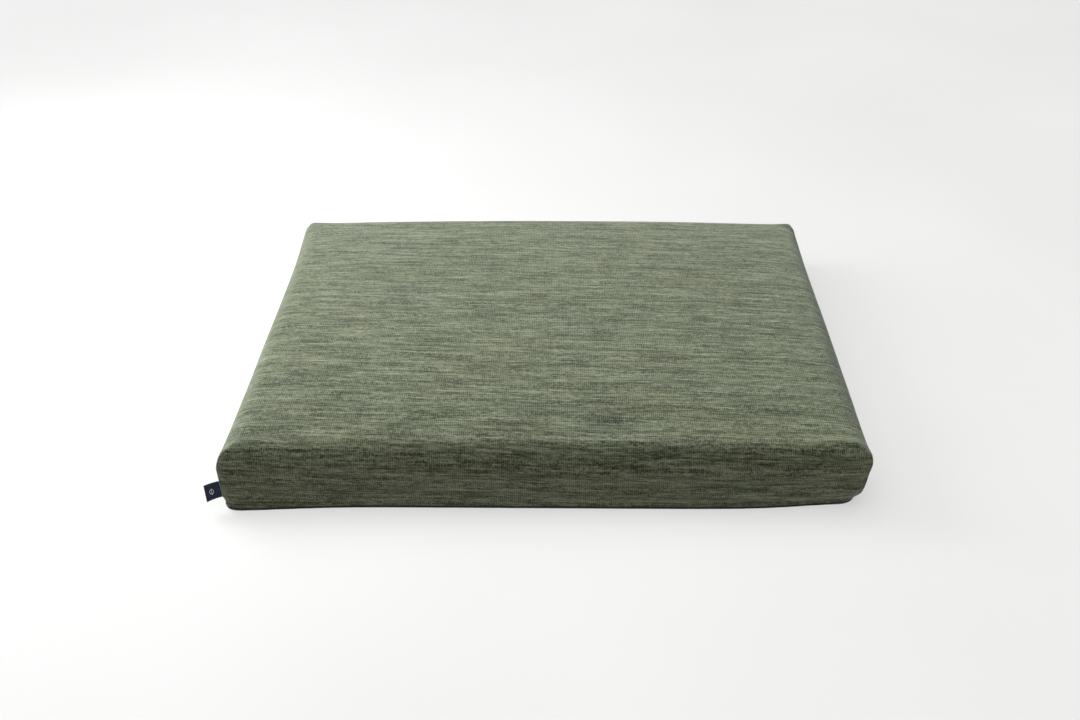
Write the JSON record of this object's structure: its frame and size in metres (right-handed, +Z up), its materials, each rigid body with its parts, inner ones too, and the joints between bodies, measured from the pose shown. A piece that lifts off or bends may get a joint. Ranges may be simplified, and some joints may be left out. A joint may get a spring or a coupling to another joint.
{
  "type": "kneeling pad",
  "caption": "Thick rectangular floor pad to kneel on: crowned foam in a slub-weave cover over a dark base, with a zip along the back and a folded side label.",
  "frame": {"origin": "middle of the underside, on the face that lies on the ground", "axes": "+X along the long side towards the right, with the side label at the left front corner; +Y towards the back, where the zip is; +Z up"},
  "size_m": [0.9187, 0.7056, 0.11],
  "materials": {
    "cover_cloth": "matte",
    "base_cloth": "matte",
    "liner_cloth": "matte",
    "wadding": "matte",
    "soft_foam": "matte",
    "firm_foam": "matte",
    "zip_tape": "matte",
    "zip_coil": "satin",
    "zip_metal": "satin",
    "label_ribbon": "matte",
    "satin_ribbon": "satin"
  },
  "bodies": {
    "pad": {"cover_shell": "cover_cloth", "base_panel": "base_cloth", "liner_top": "liner_cloth", "liner_base": "liner_cloth", "wadding_wrap": "wadding", "memory_foam": "soft_foam", "support_foam": "firm_foam", "zip_tape_upper": "zip_tape", "zip_tape_lower": "zip_tape", "zip_coil_upper": "zip_coil", "zip_coil_lower": "zip_coil", "zip_stop_closed": "zip_metal", "zip_stop_open": "zip_metal", "care_label": "satin_ribbon"},
    "zip_slider": {"zip_slider": "zip_metal"},
    "zip_pull": {"zip_pull": "zip_metal"},
    "side_label": {"side_label": "label_ribbon"}
  },
  "joints": [
    {"name": "zip_slide", "type": "slide", "parent": "pad", "child": "zip_slider", "axis": [1, 0, 0], "range_m": [0, 0.739]},
    {"name": "pull_hinge", "type": "hinge", "parent": "zip_slider", "child": "zip_pull", "pos_m": [-0.3697, 0.347, 0.015], "axis": [0, 0, 1], "range_deg": [0, 180]},
    {"name": "label_flap", "type": "hinge", "parent": "pad", "child": "side_label", "pos_m": [-0.44635, -0.34623, 0.034], "axis": [0, 0, 1], "range_deg": [-40, 80]}
  ]
}
